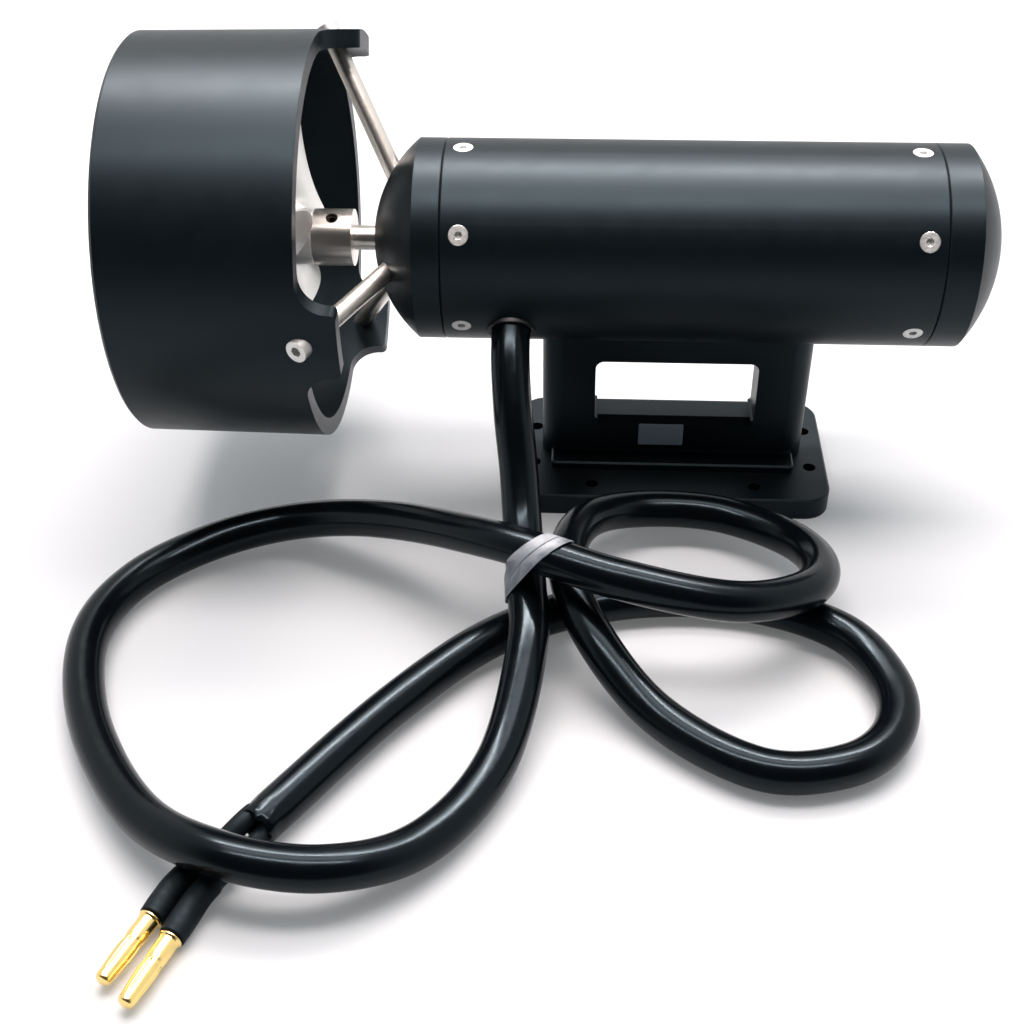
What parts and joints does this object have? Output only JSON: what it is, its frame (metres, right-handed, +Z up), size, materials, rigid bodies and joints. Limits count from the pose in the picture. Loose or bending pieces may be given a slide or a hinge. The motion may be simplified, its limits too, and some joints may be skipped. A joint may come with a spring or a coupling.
{
  "type": "underwater thruster",
  "caption": "Underwater thruster: a sealed cylindrical motor on a pedestal and base plate turns a propeller inside a nozzle held by struts, fed by a looped supply cable.",
  "frame": {"origin": "centre of the base plate's underside, which is the centre of its bolt patterns", "axes": "+X along the shaft from the propeller to the rear cap, +Y away from the cable side, +Z up"},
  "size_m": [0.2919, 0.2975, 0.1566],
  "materials": {
    "anodised_black": "satin black anodised",
    "stainless": "turned and polished",
    "prop_alloy": "satin machined",
    "motor_steel": "zinc plated",
    "lamination": "stamped sheets",
    "copper": "enamelled wire and drawn bar",
    "ferrite": "ground",
    "carbon": "pressed",
    "seal_rubber": "moulded",
    "cable_rubber": "glossy jacket",
    "lead_insulation": "smooth",
    "heat_shrink": "matte",
    "tie_plastic": "frosted",
    "gold_brass": "gold plated"
  },
  "bodies": {
    "frame": {"motor_housing": "anodised_black", "front_cap": "anodised_black", "rear_cap": "anodised_black", "front_cap_screws": "stainless", "rear_cap_screws": "stainless", "front_o_rings": "seal_rubber", "rear_o_rings": "seal_rubber", "shaft_seals": "seal_rubber", "front_bearing": "stainless", "rear_bearing": "stainless", "motor_front_plate": "motor_steel", "motor_screws": "stainless", "motor_can": "motor_steel", "motor_rear_bell": "prop_alloy", "field_magnets": "ferrite", "brush_holders": "gold_brass", "carbon_brushes": "carbon", "motor_leads": "lead_insulation", "strut_front": "stainless", "strut_top": "stainless", "strut_back": "stainless", "nozzle": "anodised_black", "strut_screws": "stainless", "pedestal": "anodised_black", "base_plate": "anodised_black", "foot_screws": "stainless", "saddle_screws": "stainless", "cable_bush": "seal_rubber", "supply_cable": "cable_rubber", "cable_tie": "tie_plastic", "lead_sleeves": "heat_shrink", "bullet_plugs": "gold_brass"},
    "rotor": {"drive_shaft": "stainless", "hub_collar": "stainless", "set_screw": "stainless", "propeller": "prop_alloy", "prop_washer": "stainless", "prop_nut": "stainless", "armature_core": "lamination", "armature_windings": "copper", "commutator": "copper"}
  },
  "joints": [
    {"name": "propeller_spin", "type": "hinge", "parent": "frame", "child": "rotor", "pos_m": [0, 0, 0.091], "axis": [1, 0, 0], "continuous": true}
  ]
}
